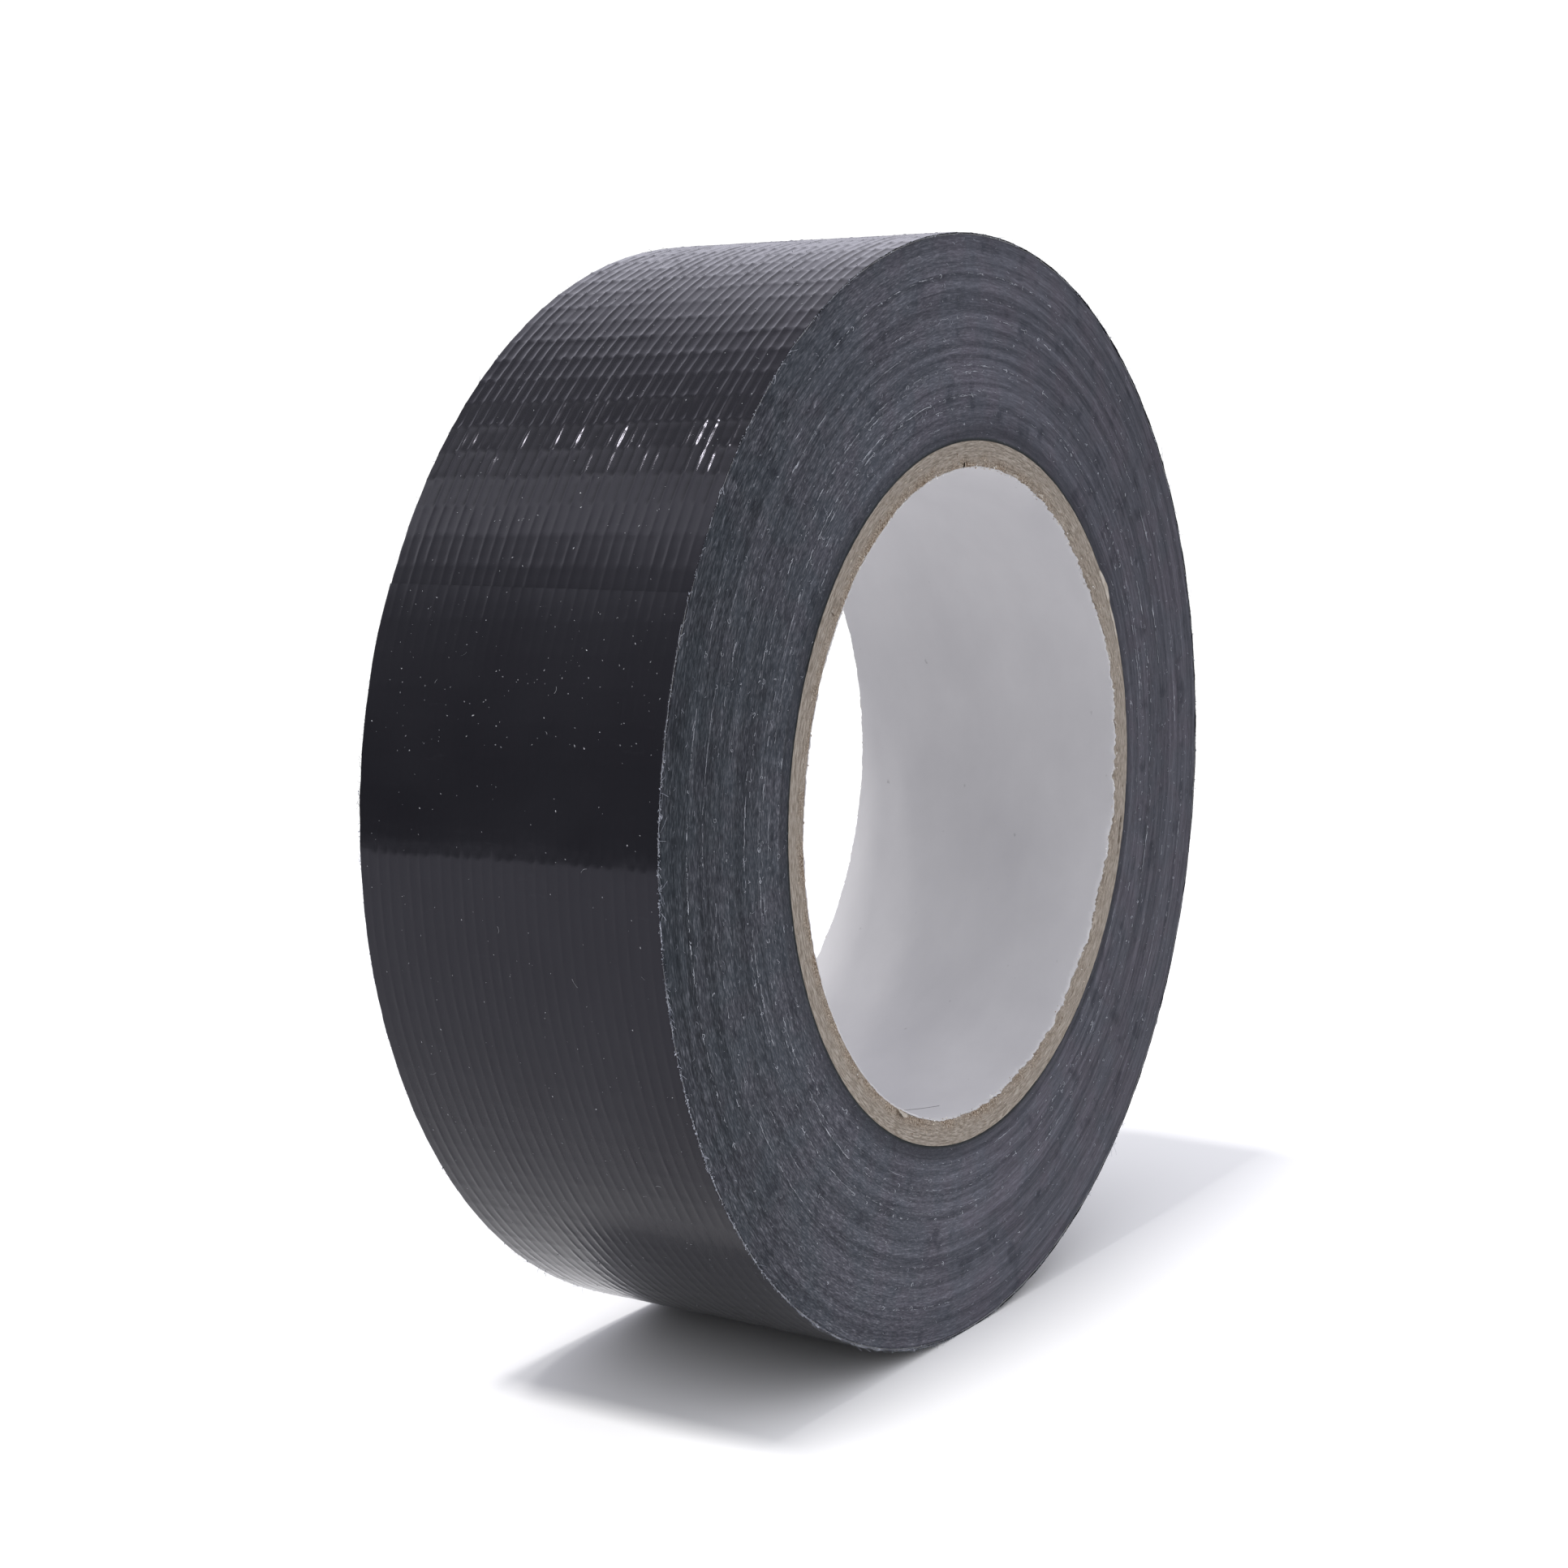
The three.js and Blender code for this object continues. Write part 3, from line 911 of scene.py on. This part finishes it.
def all_dust():
    """Dust on the roll, and its own piece on the free end so that it lifts with the film."""
    dust("dust_specks", "roll", TIP_ANGLE + 1 - 360, PEEL_ANGLE - 1, ROLL_SPECKS, ROLL_HAIRS, 81)
    dust("free_end_dust", "free_end", PEEL_ANGLE + 0.5, TIP_ANGLE - 0.5, END_SPECKS, END_HAIRS, 82)


# ---- The core ----
def bore_wear(angle, side):
    """From 0 to about 1.2, how badly the core's inner corner is crushed at each angle."""
    wide = 0.5 + 0.5 * round_noise(angle, 40, side * 9.1, 91)
    near = round_noise(angle, 260, side * 4.7, 92)
    close = round_noise(angle, 800, side * 2.9, 93)
    wear = np.clip(0.25 + 0.65 * wide * wide + 0.26 * near + 0.16 * close, 0.02, 1.3)
    return wear * worn_share(angle, side)


def worn_share(angle, side):
    """The rear corner and the left of the front corner are less crushed."""
    right = 0.5 - 0.5 * np.cos(np.radians(angle))
    front = 0.16 + 0.84 * np.clip(1.7 * right - 0.15, 0, 1)
    front = front + 0.55 * np.exp(-(((angle + 80 + 180) % 360 - 180) / 24) ** 2)
    return np.where(np.asarray(side) < 0, front, 0.08)


def proud(angle, side):
    """How far the core stands out beyond the tape, at the right of the front face."""
    from_middle = (angle % 360 - 185) / 48
    return np.where(np.asarray(side) < 0, 0.38 * MM * np.exp(-from_middle ** 4), 0.0)


def burr(angle, radius, from_end, side):
    """How far the crushed corner is pushed into the bore."""
    push = round_noise(angle, 220, side * 5.3, 94)
    push = 0.6 * push + 0.6 * round_noise(angle, 60, side * 6.1, 95)
    near = np.exp(-from_end / (0.45 * MM)) * np.exp(-(radius - BORE_RADIUS) / (0.5 * MM))
    return 0.26 * MM * push * near * worn_share(angle, side) ** 2


def ply_sheet(name, inner, thickness, seam_angle, material, across, roughness, seed, rows=900):
    """One strip of the core, wound round to a slanted butt seam, with rough cut ends."""
    climb = 2 * HALF_WIDTH / SEAM_SPAN
    half_gap = SEAM_GAP / 2
    tip = (SEAM_TIP + half_gap) / climb
    angle = np.linspace(seam_angle + tip, seam_angle + 360 + SEAM_SPAN - tip, rows)[:, None]
    along = angle - seam_angle
    low = np.maximum(-HALF_WIDTH, -HALF_WIDTH + (along - 360) * climb + half_gap)
    high = np.minimum(HALF_WIDTH, -HALF_WIDTH + along * climb - half_gap)
    depth = steps(across)
    radius = inner + (thickness - BOND) * depth
    turn = angle % 360

    def cut(side):
        near_bore = np.exp(-(radius - BORE_RADIUS) / (0.45 * MM))
        grain = round_noise(turn, 900, radius / (0.11 * MM), seed + side)
        clump = round_noise(turn, 150, radius / (0.35 * MM), seed + 3 + side)
        crumbling = 0.35 + 1.6 * near_bore
        rough = roughness * crumbling * (0.5 * grain + 0.6 * clump)
        rough = rough * (0.35 + 0.65 * worn_share(turn, side))
        recess = (1.05 * bore_wear(turn, side) * near_bore + rough) * MM
        return np.maximum(recess, -0.12 * MM) - proud(turn, side)

    width = np.maximum(high - low, 0.05 * MM)
    fade = np.clip(width / (3 * MM), 0.02, 1)
    low_edge = low + cut(-1) * fade
    high_edge = high - cut(1) * fade
    inset = np.array([0.3, 0.8, 1.8, 5.0])[None, :] * MM
    inset = np.minimum(inset, width * np.array([0.08, 0.16, 0.28, 0.4])[None, :])

    def between(edge_low, edge_high):
        return np.concatenate([edge_low + inset, (edge_high - inset)[:, ::-1]], 1)

    y_outer = between(low_edge[:, -1:], high_edge[:, -1:])
    y_inner = between(low_edge[:, :1], high_edge[:, :1])[:, ::-1]
    flat = np.ones((rows, y_outer.shape[1]))
    y = np.concatenate([low_edge, y_outer, high_edge[:, ::-1], y_inner], 1)
    every = radius * np.ones_like(angle)
    r = np.concatenate([every, radius[:, -1:] * flat, every[:, ::-1], radius[:, :1] * flat], 1)
    side = np.where(y < 0, -1.0, 1.0)
    r = r - burr(turn, r, HALF_WIDTH - np.abs(y), side)
    points = place(angle, r, y)
    uvs = np.stack([np.radians(angle) * inner * np.ones_like(y), y], -1)
    return section_sheet(name, points, uvs, material, 50)


def core():
    """The liner and the kraft plies."""
    liner = ply_sheet("core_liner_paper", BORE_RADIUS, LINER, LINER_SEAM_ANGLE, FINISH["white_liner"],
                      3, 0.14, 101, 1500)
    finish_piece(liner, "roll", "white_liner", "core_liner")
    for i in range(PLY_COUNT):
        ply = ply_sheet(f"core_ply_{i + 1}_paper", BORE_RADIUS + LINER + i * PLY, PLY,
                        LINER_SEAM_ANGLE + SEAM_STAGGER * (i + 1), FINISH["kraft_paper"],
                        6, 0.10, 110 + 10 * i, 1500 if i < 2 else 800)
        finish_piece(ply, "roll", "kraft_paper", f"core_ply_{i + 1}")


CRUMB_ANGLES = (-180, -150, -125, -105, -70, -55, -20, 20, 60, 130, 180)
CRUMB_LEVELS = (0.5, 0.3, 0.4, 1.0, 1.0, 0.12, 0.3, 0.5, 1.0, 1.0, 0.5)


def corner_place(angle, depth, lift, side):
    """A place on the crushed inner corner: depth outwards from the bore, lift above the paper."""
    radius = BORE_RADIUS + depth
    sunk = 1.05 * bore_wear(angle % 360, side) * np.exp(-depth / (0.45 * MM)) * MM
    return place(angle, radius, side * (HALF_WIDTH + proud(angle, side) - sunk + lift))


def crumb_share(angle, side):
    """How thickly the crumbs lie, from 0 to 1: most at the top and the bottom of the front."""
    turn = (np.asarray(angle) + 180) % 360 - 180
    front = np.interp(turn, CRUMB_ANGLES, CRUMB_LEVELS)
    return np.where(side < 0, front, 0.35)


def core_crumbs():
    """Torn bits of kraft and of white liner along both inner corners of the core."""
    for paper, material, slot, count, reach, seed in (
            ("kraft", KRAFT_CRUMB, "kraft_paper", 800, 0.9, 121),
            ("liner", LINER_CRUMB, "white_liner", 420, 0.16, 122)):
        rng = np.random.default_rng(seed)
        parts = []
        for side in (-1, 1):
            angle = rng.uniform(0, 360, count)
            angle = angle[rng.random(count) < crumb_share(angle, side)]
            kept = len(angle)
            depth = np.minimum(rng.exponential(reach, kept), 2.2) * MM
            centre = corner_place(angle, depth, 0.02 * MM, side)
            size = rng.uniform(0.03, 0.11, kept) * MM
            parts.append(flecks(centre, size, np.radians(90 - angle) + rng.normal(0, 0.5, kept),
                                rng.uniform(1.0, 2.6, kept), rng.uniform(0.4, 1.2, kept)))
            hairs = kept // 4
            angle = rng.choice(angle, hairs)[:, None]
            t = steps(4)
            step = rng.uniform(0.15, 0.45, (hairs, 1)) * MM * t
            heading = rng.normal(0, 0.7, (hairs, 1))
            turn = angle + np.degrees(step * np.cos(heading) / BORE_RADIUS)
            depth = np.minimum(rng.exponential(reach, (hairs, 1)), 2.0) * MM + step * np.sin(heading) * 0.4
            path = corner_place(turn, np.maximum(depth, 0.02 * MM), 0.03 * MM + 0.15 * step, side)
            parts.append(tubes(path, rng.uniform(0.010, 0.022, (hairs, 1)) * MM))
        merged_piece(f"core_{paper}_crumbs", parts, material, "roll", slot, 20)


FLAPS = [
    # side, angle, length in degrees, depth from the bore, width, how far it stands out (mm)
    (-1, 142.0, 7.5, 2.75, 0.45, 0.40), (-1, 150.0, 9.0, 2.70, 0.30, 0.25),
    (-1, 103.0, 2.0, 0.15, 0.28, 0.30), (-1, 114.0, 1.6, 0.10, 0.24, 0.28),
    (-1, 129.0, 1.4, 0.10, 0.25, 0.25), (-1, 294.5, 3.5, 0.30, 0.80, 0.55),
    (1, 38.0, 5.0, 2.80, 0.60, 0.40), (1, 170.0, 2.0, 0.15, 0.45, 0.45),
    (1, 255.0, 3.0, 0.20, 0.60, 0.50),
]


def paper_flaps():
    """Thin slivers of core paper that have torn loose and curl off the end faces."""
    parts = []
    along, across = 12, 4
    for number, (side, start, length, depth, width, out) in enumerate(FLAPS):
        t = np.linspace(0, 1, along)[:, None]
        w = steps(across)
        ragged = 0.75 + 0.25 * noise(t * 6 + number * 3.1, 0 * t, 131)
        taper = np.sin(np.pi * np.clip(t * 0.9 + 0.08, 0, 1)) ** 0.6 * ragged
        angle = start + length * t + 0 * w
        reach = (depth + width * taper * w) * MM
        lift = (0.06 + out * taper * w ** 1.5 * (0.6 + 0.4 * t)) * MM + proud(angle, side)
        top = place(angle, BORE_RADIUS + reach, side * (HALF_WIDTH + lift))
        bottom = place(angle, BORE_RADIUS + reach, side * (HALF_WIDTH + lift - 0.05 * MM))
        ring = np.concatenate([top, bottom[:, ::-1]], 1)
        size = ring.shape[1]
        ends = [np.arange(size)[None, :], (along - 1) * size + np.arange(size)[None, ::-1]]
        sheet = loop_faces(along, size, False)
        faces = [sheet, *ends] if side > 0 else [f[:, ::-1] for f in (sheet, *ends)]
        parts.append((ring.reshape(-1, 3), faces))
    merged_piece("core_paper_flaps", parts, FLAP, "roll", "kraft_paper")


HAIR_ANGLES = (-82.0, -90.5)
HAIR_DEPTHS = (-12.4, -14.3)


def stray_hair():
    """One thin dark hair that lies on the liner near the front of the bore."""
    t = steps(14)
    angle = HAIR_ANGLES[0] + (HAIR_ANGLES[1] - HAIR_ANGLES[0]) * t
    y = (HAIR_DEPTHS[0] + (HAIR_DEPTHS[1] - HAIR_DEPTHS[0]) * t ** 1.3) * MM
    hair = tubes(place(angle, BORE_RADIUS - 0.03 * MM, y), 0.022 * MM, 5)
    merged_piece("stray_hair", [hair], HAIR, "roll", "white_liner")


# ---- Studio ----
CAMERA_AZIMUTH = -57.73
CAMERA_ELEVATION = 7.04
CAMERA_DISTANCE = 0.3027
CAMERA_AIM = (-0.0121, 0.0, 0.0013)
CAMERA_LENS = 59.13


def direction(azimuth, elevation):
    """Unit vector: azimuth 0 is -Y and 90 is +X."""
    a, e = math.radians(azimuth), math.radians(elevation)
    return Vector((math.sin(a) * math.cos(e), -math.cos(a) * math.cos(e), math.sin(e)))


def stand(name, data, spot, turn):
    made = bpy.data.objects.new(name, data)
    made.location = spot
    made.rotation_euler = turn.to_euler()
    bpy.context.scene.collection.objects.link(made)
    return made


def camera():
    data = bpy.data.cameras.new("camera")
    data.lens = CAMERA_LENS
    data.sensor_width = 36
    data.clip_start, data.clip_end = 0.01, 50
    back = direction(CAMERA_AZIMUTH, CAMERA_ELEVATION)
    aim = Vector((0, 0, AXIS_Z)) + Vector(CAMERA_AIM)
    turn = (-back).to_track_quat("-Z", "Y")
    bpy.context.scene.camera = stand("camera", data, aim + back * CAMERA_DISTANCE, turn)


def area_light(name, azimuth, elevation, distance, size, power):
    data = bpy.data.lights.new(name, "AREA")
    data.shape = "RECTANGLE"
    data.size, data.size_y = size, size
    data.energy = power
    data.color = LAMP_COLOUR
    away = direction(azimuth, elevation)
    stand(name, data, Vector((0, 0, AXIS_Z)) + away * distance, away.to_track_quat("Z", "Y"))


# The surround behind the roll, by the angle round the roll's axis: 0 is -X and 90 is straight up
SURROUND = [
    (-20, 0.22), (2, 0.20), (24, 0.27), (36, 0.36), (45, 0.56), (53, 1.15), (59, 2.10), (66, 2.25),
    (69, 1.60), (82, 0.52), (92, 0.36), (101, 0.54), (112, 0.96), (128, 1.16), (150, 1.25), (180, 1.25),
]
OVERHEAD_FROM = 85
OVERHEAD_TINT = (0.985, 0.97, 1.06)
BEHIND_FROM, BEHIND_TO = 0.08, 0.46
LOW_FROM, LOW_TO = 0.02, 0.35
FRONT_LEVEL = 1.25
LOW_DIM = 0.12
LAMP_COLOUR = (1.0, 0.985, 0.965)
LAMPS = [
    # name, azimuth, elevation, distance, width and height, power
    ("key", -95, 68, 2.0, 0.24, 22.0), ("glint", -118, 67, 2.0, 0.14, 6.5),
]
SKY_TINT = (0.985, 0.99, 1.035)
SKY_LEVEL = 1.1
FLOOR_RADIUS = 0.45
FLOOR_SIDES = 128


def world():
    """White for the camera. The roll itself sees a studio with a dark wall low on its left."""
    made = bpy.data.worlds.new("studio")
    bpy.context.scene.world = made
    g = Graph("studio", made)
    g.tree.nodes.clear()
    part = g.node("SeparateXYZ", {0: g.node("TexCoord").outputs["Generated"]}).outputs
    left = g.node("Math", {0: part[0], 1: -1.0}, operation="MULTIPLY").outputs[0]
    turn = g.node("Math", {0: part[2], 1: left}, operation="ARCTAN2").outputs[0]
    low, high = SURROUND[0][0], SURROUND[-1][0]
    spread = g.node("MapRange", {0: turn, 1: math.radians(low), 2: math.radians(high)}).outputs[0]
    peak = max(level for _, level in SURROUND)
    stops = []
    for angle, level in SURROUND:
        tint = OVERHEAD_TINT if angle > OVERHEAD_FROM else (1, 1, 1)
        stops.append(((angle - low) / (high - low), tuple(level / peak * share for share in tint)))
    behind = g.node("MapRange", {0: part[1], 1: BEHIND_FROM, 2: BEHIND_TO}).outputs[0]
    both = g.mix(behind, (FRONT_LEVEL / peak,) * 3, g.ramp(spread, *stops))
    both = g.mix(1.0, both, SKY_TINT, "MULTIPLY")
    height = {0: part[2], 1: LOW_FROM, 2: LOW_TO, 3: LOW_DIM * peak, 4: peak}
    lit = g.node("Background", {0: both, 1: g.node("MapRange", height).outputs[0]}).outputs[0]
    seen = g.node("Background", {0: (1, 1, 1, 1), 1: SKY_LEVEL}).outputs[0]
    camera_ray = g.node("LightPath").outputs["Is Camera Ray"]
    g.node("OutputWorld", {0: g.node("MixShader", {0: camera_ray, 1: lit, 2: seen}).outputs[0]})


def floor():
    turn = np.linspace(0, 2 * np.pi, FLOOR_SIDES, endpoint=False)
    rim = np.stack([FLOOR_RADIUS * np.cos(turn), FLOOR_RADIUS * np.sin(turn), 0 * turn], -1)
    g = Graph("floor_white")
    g.set(Base_Color=(0.82, 0.82, 0.825, 1), Roughness=0.9, Specular_IOR_Level=0.2)
    made = new_piece("floor", rim, [np.arange(FLOOR_SIDES)[None, :]], None, g.material)


def studio():
    world()
    floor()
    for lamp in LAMPS:
        area_light(*lamp)
    scene = bpy.context.scene
    scene.view_settings.view_transform = "Standard"
    scene.view_settings.look = "None"
    scene.view_settings.exposure = 0.0
    scene.view_settings.gamma = 1.0


camera()
studio()
outer_turn()
free_end()
under_turn()
wound_turns()
for face_side in (-1, 1):
    frayed_threads(face_side)
    face_fluff(face_side)
all_dust()
core()
core_crumbs()
paper_flaps()
stray_hair()
